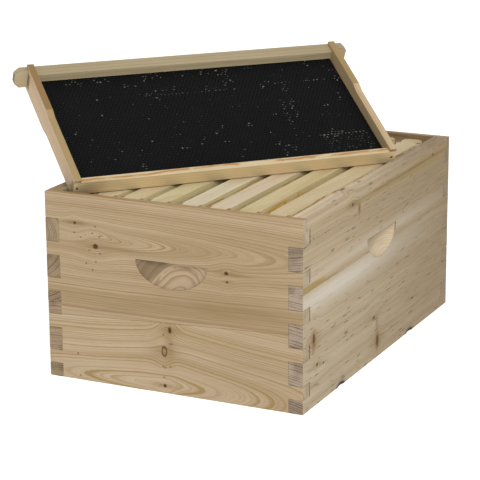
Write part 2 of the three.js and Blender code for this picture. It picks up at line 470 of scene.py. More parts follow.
def add_knots(surface, colour, here, flat, plank):
    """Dark cores with a brown halo that trails off along the grain."""
    ragged = surface.noise(here, KNOT_GRAIN) * KNOT_RAGGED
    for knot in plank.knots:
        centre = (knot.x, knot.z)
        halo = surface.reach(flat, centre, (HALO_REACH[0] * knot.wide, HALO_REACH[1] * knot.high)).fading()
        colour = surface.mix(halo * HALO_SHARE, colour, KNOT_HALO)
        core = surface.reach(flat, centre, (knot.wide / 2, knot.high / 2)) + ragged - KNOT_RAGGED / 2
        if knot.ringed:
            rim = core.ramp(*KNOT_RIM_INSIDE) * core.ramp(*KNOT_RIM_OUTSIDE)
            colour = surface.mix(rim * KNOT_RIM_SHARE, colour, KNOT_CORE)
            colour = surface.mix(core.ramp(*KNOT_HEART) * KNOT_HEART_SHARE, colour, KNOT_HALO)
        else:
            colour = surface.mix(core.ramp(*KNOT_EDGE), colour, KNOT_CORE)
    return colour


def add_pins(surface, colour, flat, plank):
    """Pin knots: dark points of 2 mm."""
    for centre in plank.pins:
        point = surface.reach(flat, centre, PIN_RADII).ramp(*PIN_EDGE)
        colour = surface.mix(point * PIN_SHARE, colour, PIN_BROWN)
    return colour


def add_stains_and_shade(surface, colour, here, flat, plank):
    """Patches of other colours, soft or with a ragged edge: marks in the wood, and some painted shade and
    painted shadow.
    """
    ragged = surface.noise(here, STAIN_AND_SHADE_STRETCH, detail=3.0) + STAIN_AND_SHADE_LEAST
    for stain_or_shade in plank.stains_and_shade:
        distance = surface.reach(flat, (stain_or_shade.x, stain_or_shade.z), (stain_or_shade.wide, stain_or_shade.high))
        if stain_or_shade.sharp:
            patch = (distance + ragged * STAIN_AND_SHADE_RAGGED - STAIN_AND_SHADE_RAGGED).ramp(*STAIN_AND_SHADE_EDGE)
        else:
            patch = distance.fading() * ragged
        colour = surface.mix(patch * stain_or_shade.strength, colour, stain_or_shade.colour)
    return colour


def add_flecks(surface, colour, here, strength, seed):
    """Short dark dashes along the grain, where it was torn."""
    dash = surface.cells(here, FLECK_STRETCH).ramp(*FLECK_EDGE)
    sparse = surface.noise(here, FLECK_FIELD, (seed, 5, 0)).ramp(*FLECK_SPARSE)
    return surface.mix(dash * sparse * strength, colour, FLECK_BROWN)


def add_scoop(surface, colour, here, flat, scoop):
    """Rings laid open inside the handhold, with painted shade over one side."""
    along, depth, up = surface.split(here)
    inside = surface.reach(flat, HANDHOLD_CENTRE, HANDHOLD_RADII).ramp(*SCOOP_OUTLINE)
    inside = inside * depth.ramp(*HANDHOLD_SKIN) * depth.ramp(*HANDHOLD_BACK)
    stray = surface.noise(here, SCOOP_GRAIN) * SCOOP_STRAY
    distance = surface.reach(flat, (scoop.x, scoop.z), (scoop.ring, scoop.ring))
    turn = (distance + surface.noise_along(distance * SCOOP_DRIFT_STEP) * SCOOP_DRIFT + stray).fraction()
    bands = turn.ramp(*SCOOP_LATE) * turn.ramp(*SCOOP_END)
    fresh = surface.mix(bands * scoop.banding, scoop.light, scoop.dark)
    # Painted shade: the shade colour laid over the side left of the slanting line.
    slant = along - (up - HANDHOLD_CENTRE[1]) * scoop.tilt
    shaded = slant.ramp(scoop.shade_from + scoop.soft, scoop.shade_from - scoop.soft)
    fresh = surface.mix(shaded * SCOOP_SHADE, fresh, scoop.shade)
    return surface.mix(inside, colour, fresh)


def face_colours(surface, along, up, here, squarely, plank):
    """The light wood's colour, with the faces across the board in their own."""
    edge = plank.edge
    tone = surface.mix(along.ramp(edge.level - EDGE_STEP, edge.level + EDGE_STEP), edge.below, edge.above)
    if edge.line:
        level, width, colour = edge.line
        waves = surface.noise(here, EDGE_WAVE_STRETCH, (plank.seed, 9, 0), detail=3.0) - 0.5
        line = ((up - level + waves * EDGE_WAVE) / width).fading()
        broken = surface.noise(here, EDGE_BREAK_STRETCH, (plank.seed, 2, 0), detail=3.0).ramp(*EDGE_BREAK)
        tone = surface.mix(line * broken * EDGE_LINE_SHARE, tone, colour)
    return surface.mix(squarely, plank.light, tone)


def grain_colour(surface, colour, here, distance, fibres, late, plank):
    """Rings, wider bands, fine lines, patches and fibres, all in the plank's dark colour."""
    bands = surface.noise_along(distance * (BAND_STEP / plank.ring) + plank.seed + BAND_SEED)
    lines = surface.noise_along(distance * LINE_STEP + fibres * LINE_JITTER + plank.seed, detail=2.0)
    patches = surface.noise(here, PATCH_STRETCH, (plank.seed, 3, 0))
    colour = surface.mix(late * plank.contrast, colour, plank.dark)
    colour = surface.mix(bands.ramp(*BANDS) * (BAND_SHARE * plank.contrast), colour, plank.dark)
    colour = surface.mix(lines.ramp(*LINES) * (LINE_SHARE * plank.contrast), colour, plank.dark)
    colour = surface.mix(patches.ramp(*PATCHES) * PATCH_SHARE, colour, plank.dark)
    return surface.mix(fibres.ramp(*FIBRES) * FIBRE_SHARE, colour, plank.dark)


def end_colour(surface, here, late, plank):
    """The ends of the fibres, where the plank is cut across."""
    speckle = surface.noise(here, SPECKLE_GRAIN, detail=3.0).ramp(*SPECKLES)
    blotches = surface.noise(here, BLOTCH_STRETCH, (plank.seed, 1, 0)).ramp(*BLOTCHES)
    share = late * END_RING_SHARE + speckle * SPECKLE_SHARE + blotches * BLOTCH_SHARE
    return surface.mix(share, plank.end_light, plank.end_dark)


def wood(name, place, plank):
    """Sawn and planed wood. place is the piece's own frame, as a matrix in metres."""
    surface = Surface(name)
    here = surface.millimetres(place)
    along, depth, up = surface.split(here)
    flat = surface.mapped(here, scale=(1, 0, 1))
    grain_axis, side_axis, top_axis = [place.to_3x3().col[axis].normalized() for axis in range(3)]
    squarely = surface.facing(side_axis).ramp(*FACING)
    upwards = surface.facing(top_axis).ramp(*FACING)
    fibres = surface.noise(here, FIBRE_STRETCH, (plank.seed, 0, 0), detail=3.0, roughness=0.6)
    distance = ring_distance(surface, here, flat, plank)
    late = growth_rings(surface, distance, fibres, plank)
    colour = face_colours(surface, along, up, here, squarely, plank) if plank.edge else plank.light
    if plank.rim:
        colour = surface.mix(upwards, colour, plank.rim)
    colour = grain_colour(surface, colour, here, distance, fibres, late, plank)
    if plank.flecks:
        colour = add_flecks(surface, colour, here, plank.flecks, plank.seed)
    if plank.ripple:
        turn = depth * (2 * math.pi / plank.ripple) + fibres * RIPPLE_JITTER
        wave = surface.math("SINE", turn).ramp(*RIPPLES)
        colour = surface.mix(wave * upwards * RIPPLE_SHARE, colour, plank.dark)
    colour = add_stains_and_shade(surface, colour, here, flat, plank)
    colour = add_pins(surface, colour, flat, plank)
    colour = add_knots(surface, colour, here, flat, plank)
    if plank.scoop:
        colour = add_scoop(surface, colour, here, flat, plank.scoop)
    ends = surface.facing(grain_axis).ramp(*END_FACING)
    colour = surface.mix(ends, colour, end_colour(surface, here, late, plank))
    surface.bump(late * GROOVE + fibres * GROOVE, GROOVE_DEPTH)
    return surface.finish(colour, fibres * FIBRE_ROUGHNESS + WOOD_ROUGHNESS, WOOD_GLOSS)


# ---------------------------------------------------------------- frames of reference

def axes(place, turn):
    return Matrix.Translation(place) @ turn.to_4x4()


def extent(node, place):
    """Lowest and highest corner of a CAD node in another frame, in metres."""
    back = place.inverted()
    points = [back @ vertex.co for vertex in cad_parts[node].data.vertices]
    lowest = Vector(min(point[axis] for point in points) for axis in range(3))
    highest = Vector(max(point[axis] for point in points) for axis in range(3))
    return lowest, highest


def frame_parts(name):
    """The bars of one frame: which run along it and which stand upright."""
    sides = ("left", "right") if name == LEANING else ("front", "back")
    return ["top_bar", "bottom_bar"], [side + "_end_bar" for side in sides]


def frame_place(name):
    """A frame's own axes: x along the top bar, y across it, z up from the feet."""
    if name == LEANING:
        turn = Matrix.Rotation(LEAN_HEADING, 3, "Z") @ Matrix.Rotation(-LEAN_BACK, 3, "X")
    else:
        turn = Matrix.Rotation(math.pi / 2, 3, "Z")
    loose = turn.to_4x4()
    low, high = extent(name + "_bottom_bar", loose)
    middle = (low + high) / 2
    return axes(loose @ Vector((middle.x, middle.y, low.z)), turn)


def board_place(side):
    """A board's own axes: x along it, y inwards from its outer face, z up."""
    front_low, front_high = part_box("front_board_lower")
    back_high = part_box("back_board_lower")[1]
    middle = Vector(((front_low.x + front_high.x) / 2, (front_low.y + back_high.y) / 2, 0))
    half_wide = (front_high.x - front_low.x) / 2
    half_long = (back_high.y - front_low.y) / 2
    turns = {
        "front": (0, Vector((0, -half_long, 0))),
        "right": (math.pi / 2, Vector((half_wide, 0, 0))),
        "back": (math.pi, Vector((0, half_long, 0))),
        "left": (-math.pi / 2, Vector((-half_wide, 0, 0))),
    }
    angle, offset = turns[side]
    return axes(middle + offset, Matrix.Rotation(angle, 3, "Z"))


# Turns a frame's axes so that x runs up an end bar.
UPRIGHT = Matrix(((0, 0, -1, 0), (0, 1, 0, 0), (1, 0, 0, 0), (0, 0, 0, 1)))


# ---------------------------------------------------------------- the boards

# How much light each side of the box gets.
FRONT_LEVEL = 1.4
SIDE_LEVEL = 1.32
RIM_LEVEL = 1.05
FRONT_SCOOP_LEVEL = 1.3
SIDE_SCOOP_LEVEL = 1.2

FRONT_LIGHT = tint(199, 176, 144, FRONT_LEVEL)
FRONT_DARK = tint(147, 118, 74, FRONT_LEVEL)
FRONT_BAND = tint(150, 124, 84, FRONT_LEVEL)
CREAM_LIGHT = tint(204, 183, 155, FRONT_LEVEL)
CREAM_DARK = tint(157, 128, 72, FRONT_LEVEL)
SIDE_LIGHT = tint(194, 179, 150, SIDE_LEVEL)
SIDE_DARK = tint(146, 122, 84, SIDE_LEVEL)
BROWN = tint(106, 80, 36, SIDE_LEVEL)
RIM_ORANGE = tint(190, 150, 100, FRONT_LEVEL)
WANE = tint(160, 132, 70, SIDE_LEVEL)
STREAK = tint(148, 124, 66, SIDE_LEVEL)
STREAK_CORE = tint(122, 88, 44, SIDE_LEVEL)
WHITISH = tint(212, 203, 186, SIDE_LEVEL)
# Painted shade on the right face: darker towards its far end and along a band near its top.
SIDE_PAINTED_SHADE = tint(138, 115, 78, SIDE_LEVEL)
# Painted shadow inside the two chips at the right board's lower edge.
CHIP_PAINTED_SHADOW = tint(34, 28, 24, SIDE_LEVEL)
SIDE_END = tint(176, 158, 139, FRONT_LEVEL)
SIDE_END_DARK = tint(100, 78, 54, FRONT_LEVEL)
LEFT_END = tint(168, 146, 116, FRONT_LEVEL)
LEFT_END_DARK = tint(96, 74, 46, FRONT_LEVEL)
FRONT_END = tint(184, 168, 140, SIDE_LEVEL)
FRONT_END_DARK = tint(132, 112, 80, SIDE_LEVEL)
BACK_END = tint(148, 131, 103, SIDE_LEVEL)
BACK_END_DARK = tint(120, 102, 74, SIDE_LEVEL)

FRONT_RIM = tint(206, 172, 128, RIM_LEVEL)
SIDE_RIM = tint(232, 210, 180, RIM_LEVEL)
# Painted shadow of the leaning frame on the left boards' top edges.
LEFT_RIM_PAINTED_SHADOW = tint(168, 147, 107, RIM_LEVEL)

FRONT_WOOD = dict(
    rim=FRONT_RIM, light=FRONT_LIGHT, dark=FRONT_DARK, end_light=FRONT_END, end_dark=FRONT_END_DARK,
)
CREAM_WOOD = dict(FRONT_WOOD, light=CREAM_LIGHT, dark=CREAM_DARK)
BACK_WOOD = dict(FRONT_WOOD, end_light=BACK_END, end_dark=BACK_END_DARK)
SIDE_WOOD = dict(
    rim=SIDE_RIM, light=SIDE_LIGHT, dark=SIDE_DARK, end_light=SIDE_END, end_dark=SIDE_END_DARK,
)
LEFT_WOOD = dict(SIDE_WOOD, rim=LEFT_RIM_PAINTED_SHADOW, end_light=LEFT_END, end_dark=LEFT_END_DARK)
UPPER_RIGHT_WOOD = dict(SIDE_WOOD, light=tint(200, 181, 150, SIDE_LEVEL))

# Each scoop's shade colour is painted shade: on the front scoop its left wall, on the side scoop its upper
# part.
FRONT_SCOOP = Scoop(
    light=tint(187, 164, 134, FRONT_SCOOP_LEVEL), dark=tint(156, 128, 92, FRONT_SCOOP_LEVEL),
    shade=tint(110, 88, 60, FRONT_SCOOP_LEVEL), x=13, z=124,
    ring=8.5, banding=0.8, shade_from=-22, tilt=1.0, soft=5,
)
SIDE_SCOOP = Scoop(
    light=tint(212, 194, 164, SIDE_SCOOP_LEVEL), dark=tint(180, 152, 114, SIDE_SCOOP_LEVEL),
    shade=tint(140, 120, 88, SIDE_SCOOP_LEVEL), x=20, z=60,
    ring=5, banding=0.35, shade_from=-10, tilt=5, soft=60,
)

BOARDS = {
    "front_board_upper": Plank(
        **FRONT_WOOD, pith=(-165, 0, 190), taper=0.08, ring=2.0, wander=1.3, contrast=0.75,
        seed=1.0, spread=20, scoop=FRONT_SCOOP,
        knots=[Knot(-135, 207.5, 4, 4), Knot(-106, 180, 8, 7), Knot(76, 167, 6, 5), Knot(77, 156, 3, 3)],
        pins=[(-136, 195), (-110, 196.5), (-127, 190), (-100, 193), (-115, 174), (-100, 171),
              (-120, 156.5), (-106, 160), (-111, 149), (-106, 205.5)],
        stains_and_shade=[StainAndShade(-90, 106, 130, 15, FRONT_BAND, 0.6), StainAndShade(90, 118, 130, 20, FRONT_BAND, 0.8),
                StainAndShade(-70, 180, 34, 2.5, BROWN, 0.5), StainAndShade(-135, 208, 20, 2, BROWN, 0.5),
                StainAndShade(92, 166, 20, 2, BROWN, 0.5), StainAndShade(0, 245, 400, 1.6, RIM_ORANGE, 0.35),
                StainAndShade(110, 195, 170, 60, FRONT_BAND, 0.4)],
    ),
    "front_board_lower": Plank(
        **CREAM_WOOD, pith=(-35, 0, 10), taper=0.11, flare=2, ring=3.4, wander=1.4, contrast=0.85,
        crests=((-4, 16, 6), (-4, 75, 11)), seed=5.0,
        knots=[Knot(-3, 84, 5, 9), Knot(-11, 55, 7, 13, 2.0, True), Knot(-11, 10, 5, 5)],
        pins=[(-12, 77), (-3, 66), (0, 66), (-13, 35), (-10, 34), (-3, 36), (-12, 21),
              (-133, 6), (-136, 35)],
        stains_and_shade=[StainAndShade(140, 50, 130, 60, FRONT_BAND, 0.4), StainAndShade(-4, 70, 7, 30, FRONT_BAND, 0.5)],
    ),
    "right_board_upper": Plank(
        **UPPER_RIGHT_WOOD, pith=(60, 30, 330), taper=0.01, ring=2.6, wander=1.2, contrast=0.7, flecks=0.95,
        seed=9.0, scoop=SIDE_SCOOP,
        knots=[Knot(-100, 228, 5, 5), Knot(187, 232, 6, 4)],
        pins=[(-76, 176.5), (77, 177), (118, 211), (-28, 183), (-185, 213), (-222, 215)],
        # The two patches in the shade colour are painted shade.
        stains_and_shade=[StainAndShade(0, 205, 300, 22, SIDE_PAINTED_SHADE, 0.35), StainAndShade(300, 190, 320, 200, SIDE_PAINTED_SHADE, 0.85),
                StainAndShade(60, 227, 230, 5, STREAK, 0.8), StainAndShade(200, 228, 120, 7, STREAK, 0.8),
                StainAndShade(150, 230, 90, 1.6, STREAK_CORE, 0.9), StainAndShade(0, 229, 70, 1.4, STREAK_CORE, 0.7),
                StainAndShade(-100, 228, 14, 3, BROWN, 0.6), StainAndShade(-78, 219, 5, 8, KNOT_ORANGE, 0.5),
                StainAndShade(-78, 217, 2.5, 6, BROWN, 1.0), StainAndShade(-40, 168, 240, 8, WHITISH, 0.4),
                StainAndShade(-240, 152, 60, 9, WANE, 0.9, sharp=True),
                StainAndShade(-190, 152, 50, 3, WANE, 0.9, sharp=True)],
    ),
    "right_board_lower": Plank(
        **SIDE_WOOD, pith=(-40, 40, -120), taper=0.012, ring=2.8, wander=1.4, contrast=0.6, flecks=0.9,
        seed=13.0, scoop=SIDE_SCOOP,
        knots=[Knot(-220, 88, 7, 14, 2.0), Knot(-210, 52, 6, 5), Knot(-190, 48, 5, 3),
               Knot(-25, 58, 8, 5), Knot(-12, 23, 8, 17, 1.9), Knot(115, 46, 7, 3)],
        # The patch in the shade colour, at the far end, is painted shade.
        stains_and_shade=[StainAndShade(-100, 137, 260, 13, WHITISH, 1.0), StainAndShade(300, 90, 320, 200, SIDE_PAINTED_SHADE, 0.85),
                StainAndShade(-220, 84, 6, 12, KNOT_ORANGE, 1.2),
                StainAndShade(-12, 22, 7, 13, KNOT_ORANGE, 1.2),
                StainAndShade(-14, 48, 4, 10, BROWN, 0.5),
                StainAndShade(40, 26, 30, 1.2, BROWN, 0.5), StainAndShade(-222, 27, 14, 1, BROWN, 0.5),
                # The two very dark patches on the lower edge are painted shadow in the chips.
                StainAndShade(-135, 0, 10, 4.5, CHIP_PAINTED_SHADOW, 3.0), StainAndShade(105, 0, 10, 4.5, CHIP_PAINTED_SHADOW, 3.0)],
    ),
    "back_board_upper": Plank(
        **BACK_WOOD, pith=(90, 0, 160), taper=0.14, rise=0.02, ring=3.6, wander=2.5, contrast=0.7,
        seed=17.0, scoop=FRONT_SCOOP,
        knots=[Knot(62, 198, 7, 6), Knot(-90, 140, 5, 5)],
        pins=[(50, 188), (72, 183), (-80, 150)],
        stains_and_shade=[StainAndShade(0, 242, 400, 4, BROWN, 0.5)],
    ),
    "back_board_lower": Plank(
        **BACK_WOOD, pith=(40, 6, 40), taper=0.09, ring=3.2, wander=2.5, contrast=0.7, seed=21.0,
        knots=[Knot(-50, 62, 9, 8, 2.4, True), Knot(110, 24, 5, 5)],
        pins=[(-40, 76), (96, 30), (120, 36)],
    ),
    "left_board_upper": Plank(
        **LEFT_WOOD, pith=(-80, 5, 185), taper=0.1, ring=3.0, wander=2.5, contrast=0.5, flecks=0.5,
        seed=25.0, scoop=SIDE_SCOOP,
        knots=[Knot(120, 208, 6, 5), Knot(-160, 150, 7, 6)],
        pins=[(108, 200), (-148, 158)],
    ),
    "left_board_lower": Plank(
        **LEFT_WOOD, pith=(70, 20, -40), taper=0.03, ring=2.8, wander=2.5, contrast=0.5, flecks=0.7,
        seed=29.0,
        knots=[Knot(30, 48, 8, 10, 2.0, True), Knot(-190, 70, 5, 5)],
        pins=[(44, 60), (-176, 62)],
    ),
}


def finish_boards():
    """The eight planks, each with its own grain."""
    for node, plank in BOARDS.items():
        place = board_place(node.split("_")[0])
        dress(node, wood(node + "_cedar", place, plank))


# ---------------------------------------------------------------- the frames' bars

# How much light each kind of face gets.
TOP_LEVEL = 1.0
TOP_SIDE_LEVEL = 0.75
LEAN_LEVEL = 1.2
LEAN_FOOT_LEVEL = 0.9
STAIN_LEVEL = 0.8
BRIGHT_LEVEL = 0.7

# How high the shoulder of an end bar is over the feet.
SHOULDER_LEVEL = 136.8

# Where a bar was sawn from its log, in mm, and how its rings show.
PITH_ALONG = (-150, 150)
PITH_DEPTH = (-40, 40)
PITH_OFF = (25, 70)
BAR_TAPER = (-0.03, 0.03)
BAR_RING = (2.0, 3.2)
BAR_CONTRAST = (0.3, 0.5)
BAR_WANDER = 1.5
BAR_SEED_STEP = 3.7
BARS_APART = 10

# The top bars' colours, from the right of the box to the left.
HUNG_LIGHTS = [
    tint(222, 206, 172, TOP_LEVEL), tint(220, 206, 164, TOP_LEVEL), tint(218, 200, 174, TOP_LEVEL),
    tint(218, 207, 180, TOP_LEVEL), tint(212, 200, 160, TOP_LEVEL), tint(216, 202, 168, TOP_LEVEL),
    tint(214, 200, 166, TOP_LEVEL),
]
HUNG_WOOD = dict(
    dark=tint(184, 160, 112, TOP_LEVEL),
    end_light=tint(168, 142, 104, TOP_LEVEL), end_dark=tint(120, 92, 62, TOP_LEVEL),
)
LEAN_WOOD = dict(
    light=tint(192, 176, 142, LEAN_LEVEL), dark=tint(146, 128, 88, LEAN_LEVEL),
    end_light=tint(160, 138, 106, LEAN_LEVEL), end_dark=tint(104, 80, 56, LEAN_LEVEL),
)
LEAN_UPRIGHT = dict(
    LEAN_WOOD, light=tint(205, 178, 144, LEAN_LEVEL), dark=tint(168, 138, 100, LEAN_LEVEL),
)
LEAN_FOOT = dict(
    LEAN_WOOD, light=tint(208, 188, 148, LEAN_FOOT_LEVEL), dark=tint(166, 140, 94, LEAN_FOOT_LEVEL),
)
FOOT_FACE = tint(228, 210, 172, LEAN_LEVEL)
HUNG_SIDE = tint(190, 178, 136, TOP_SIDE_LEVEL)
# Painted light on the side faces of hung frame 1's top bar: brighter than any wood under the light there.
PAINTED_LIGHT_SIDE = tint(232, 214, 170, BRIGHT_LEVEL)
RESIN = tint(184, 146, 84)
RESIN_HEIGHT = (220, 228)
RESIN_WIDTH = 1.5
BRIGHT_LINE = (228, RESIN_WIDTH, tint(180, 130, 60, STAIN_LEVEL))
AMBER = tint(168, 124, 52, STAIN_LEVEL)
HONEY = tint(192, 166, 96, STAIN_LEVEL)

SPECIAL_BARS = {
    "leaning_frame_left_end_bar": dict(
        LEAN_UPRIGHT, contrast=0.3,
        edge=EdgeFace(tint(150, 118, 68, LEAN_LEVEL), tint(178, 154, 106, LEAN_LEVEL), SHOULDER_LEVEL),
    ),
    "leaning_frame_right_end_bar": dict(
        LEAN_UPRIGHT, light=tint(186, 162, 122, LEAN_LEVEL), dark=tint(146, 122, 82, LEAN_LEVEL),
        edge=EdgeFace(tint(176, 150, 100, LEAN_LEVEL), tint(212, 184, 146, LEAN_LEVEL), SHOULDER_LEVEL),
    ),
    "leaning_frame_bottom_bar": dict(
        LEAN_FOOT, contrast=0.4,
        edge=EdgeFace(FOOT_FACE, FOOT_FACE, line=(6.0, 2.0, tint(186, 118, 36, LEAN_LEVEL))),
        # A darker patch on the underside near the left foot.
        stains_and_shade=[StainAndShade(-205, -1, 32, 3, tint(112, 90, 56, LEAN_LEVEL), 0.65)],
    ),
    # This top bar's side faces carry painted light.
    "hung_frame_1_top_bar": dict(ripple=4.0, edge=EdgeFace(PAINTED_LIGHT_SIDE, PAINTED_LIGHT_SIDE, line=BRIGHT_LINE)),
    "hung_frame_2_top_bar": dict(
        edge=EdgeFace(HUNG_SIDE, HUNG_SIDE, line=(219, 3, tint(150, 112, 52, TOP_LEVEL))),
        stains_and_shade=[StainAndShade(-168, 226, 46, 3.6, HONEY, 0.85, sharp=True),
                StainAndShade(-98, 226, 7, 4, HONEY, 0.85, sharp=True),
                StainAndShade(-185, 225, 24, 1.2, AMBER, 0.9), StainAndShade(-160, 228, 22, 1.0, AMBER, 0.9),
                StainAndShade(-142, 226, 3, 4, AMBER, 0.8), StainAndShade(-100, 226, 3, 4, AMBER, 0.8),
                StainAndShade(-85, 223, 25, 1.6, AMBER, 0.7)],
    ),
}


def bar_plank(node, name, frame_number, bar_number):
    """Straight-grained wood, sawn from another place in the log for each bar."""
    number = BARS_APART * frame_number + bar_number
    chance = random.Random(number)
    along, deep = chance.uniform(*PITH_ALONG), chance.uniform(*PITH_DEPTH)
    off = chance.choice((-1, 1)) * chance.uniform(*PITH_OFF)
    looks = dict(
        LEAN_WOOD if name == LEANING else HUNG_WOOD,
        pith=(along, deep, off), taper=chance.uniform(*BAR_TAPER), ring=chance.uniform(*BAR_RING),
        wander=BAR_WANDER, contrast=chance.uniform(*BAR_CONTRAST), seed=number * BAR_SEED_STEP,
    )
    if name != LEANING:
        looks["light"] = HUNG_LIGHTS[frame_number - 1]
        if node.endswith("top_bar"):
            line = (chance.uniform(*RESIN_HEIGHT), RESIN_WIDTH, RESIN)
            looks["edge"] = EdgeFace(HUNG_SIDE, HUNG_SIDE, line=line)
    looks.update(SPECIAL_BARS.get(node, {}))
    return Plank(**looks)


def finish_bars(name, frame_number):
    """The four bars of one frame, each with its own grain."""
    place = frame_place(name)
    lying, standing = frame_parts(name)
    for bar_number, part in enumerate(lying + standing):
        node = f"{name}_{part}"
        own_place = place @ UPRIGHT if part in standing else place
        dress(node, wood(node + "_pine", own_place, bar_plank(node, name, frame_number, bar_number)))


# ---------------------------------------------------------------- finishing CAD nodes

def soften(piece):
    """Rounds the sawn edges very slightly, as sanding does."""
    weld = piece.modifiers.new("weld", "WELD")
    weld.merge_threshold = WELD_DISTANCE
    bevel = piece.modifiers.new("rounding", "BEVEL")
    bevel.width = EDGE_ROUNDING
    bevel.segments = EDGE_SEGMENTS
    bevel.limit_method = "ANGLE"
    bevel.angle_limit = EDGE_ANGLE
    bevel.harden_normals = True


def dress(node, material):
    """Puts a material on a CAD node, and rounds its edges."""
    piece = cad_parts[node]
    piece.data.materials.clear()
    piece.data.materials.append(material)
    soften(piece)


# ---------------------------------------------------------------- foundations

PLASTIC_DARK = tint(12, 12, 14)
PLASTIC_LIGHT = tint(19, 19, 21)
PLASTIC_DUST = tint(40, 40, 38)
HAZE_STRETCH = (0.02, 0.02, 0.02)
HAZE = (0.4, 0.7)
HAZE_SHARE = 0.5
DUST_STRETCH = (0.6, 0.6, 0.6)
DUST = (0.55, 0.8)
DUST_SHARE = 0.3
DUST_DEPTH = 0.05 * MM
PLASTIC_UNEVEN = 0.25
PLASTIC_ROUGHNESS = 0.4
PLASTIC_GLOSS = 0.12


def black_plastic():
    """Dull black plastic with a haze of wax and some dust."""
    surface = Surface("black_comb_plastic")
    here = surface.mapped(surface.object_point(), scale=(1 / MM, 1 / MM, 1 / MM))
    haze = surface.noise(here, HAZE_STRETCH, detail=4.0)
    dust = surface.noise(here, DUST_STRETCH, detail=3.0)
    colour = surface.mix(haze.ramp(*HAZE) * HAZE_SHARE, PLASTIC_DARK, PLASTIC_LIGHT)
    colour = surface.mix(dust.ramp(*DUST) * DUST_SHARE, colour, PLASTIC_DUST)
    surface.bump(dust, DUST_DEPTH)
    return surface.finish(colour, haze * PLASTIC_UNEVEN + PLASTIC_ROUGHNESS, PLASTIC_GLOSS)


def comb_cells(length, height):
    """Centres of the cells that cover a sheet, in mm from the middle of its lower edge."""
    for row in range(math.ceil(height / ROW_STEP) + 1):
        shift = CELL_WIDTH / 2 if row % 2 else 0
        for column in range(math.ceil(length / CELL_WIDTH) + 2):
            yield column * CELL_WIDTH - shift - length / 2, row * ROW_STEP


def comb_face(mesh, length, height, surface_y, fine):
    """One face of a sheet: a pit in each cell. Gives the rims' vertices by their place in the comb."""
    inwards = -1 if surface_y > 0 else 1
    corners = {}

    def vertex(x, z, depth):
        x = min(max(x, -length / 2), length / 2)
        z = min(max(z, 0), height)
        return mesh.verts.new((x * MM, (surface_y + inwards * depth) * MM, z * MM))

    for centre_x, centre_z in comb_cells(length, height):
        outer, inner = [], []
        for corner in range(CELL_SIDES):
            angle = 2 * math.pi * (corner + 0.5) / CELL_SIDES
            x, z = CELL_RADIUS * math.cos(angle), CELL_RADIUS * math.sin(angle)
            key = (round(centre_x + x, 1), round(centre_z + z, 1))
            if key not in corners:
                corners[key] = vertex(centre_x + x, centre_z + z, 0)
            outer.append(corners[key])
            if fine:
                ring_depth = CELL_DEPTH * CELL_RING_DEPTH
                inner.append(vertex(centre_x + x * CELL_RING, centre_z + z * CELL_RING, ring_depth))
        pit = vertex(centre_x, centre_z, CELL_DEPTH)
        rim = inner if fine else outer
        for corner in range(CELL_SIDES):
            following = (corner + 1) % CELL_SIDES
            if fine:
                mesh.faces.new((outer[corner], outer[following], inner[following], inner[corner]))
            mesh.faces.new((rim[corner], rim[following], pit))
    return corners


def comb_sheet(name, length, height, thickness, fine):
    """A closed sheet with cells pressed into both faces. It stands on z = 0, centred on x and y."""
    mesh = bmesh.new()
    front = comb_face(mesh, length, height, -thickness / 2, fine)
    open_edges = [edge for edge in mesh.edges if len(edge.link_faces) == 1]
    back = comb_face(mesh, length, height, thickness / 2, fine)
    key_of = {corner: key for key, corner in front.items()}
    for edge in open_edges:
        first, second = edge.verts
        mesh.faces.new((first, second, back[key_of[second]], back[key_of[first]]))
    bmesh.ops.remove_doubles(mesh, verts=mesh.verts, dist=CELL_MERGE)
    bmesh.ops.dissolve_degenerate(mesh, edges=mesh.edges, dist=CELL_SMALLEST_EDGE)
    bmesh.ops.recalc_face_normals(mesh, faces=mesh.faces)
    return mesh_data(mesh, name)


def mesh_data(mesh, name):
    """Turns a mesh in the making into mesh data."""
    data = bpy.data.meshes.new(name)
    mesh.to_mesh(data)
    mesh.free()
    return data


def new_piece(name, data, place, body):
    """A piece that the CAD has not, riding on one of its bodies."""
    piece = bpy.data.objects.new(name, data)
    bpy.context.scene.collection.objects.link(piece)
    piece.matrix_world = place
    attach(piece, body)
    return piece


def finish_foundations(names, plastic):
    """A honeycomb sheet in each frame, in place of the plain CAD sheet."""
    low, high = extent("hung_frame_1_foundation", frame_place("hung_frame_1"))
    length, thickness, height = [(high[axis] - low[axis]) / MM for axis in range(3)]
    coarse = comb_sheet("hung_comb", length, height, thickness, fine=False)
    fine = comb_sheet("leaning_comb", length, height, thickness, fine=True)
    for data in (coarse, fine):
        data.materials.append(plastic)
    for name in names:
        place = frame_place(name)
        low, high = extent(name + "_foundation", place)
        middle = (low + high) / 2
        stand = place @ Matrix.Translation((middle.x, middle.y, low.z))
        data = fine if name == LEANING else coarse
        sheet = new_piece(name + "_comb", data, stand, name)
        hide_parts(name + "_foundation")


# ---------------------------------------------------------------- wax on the leaning sheet

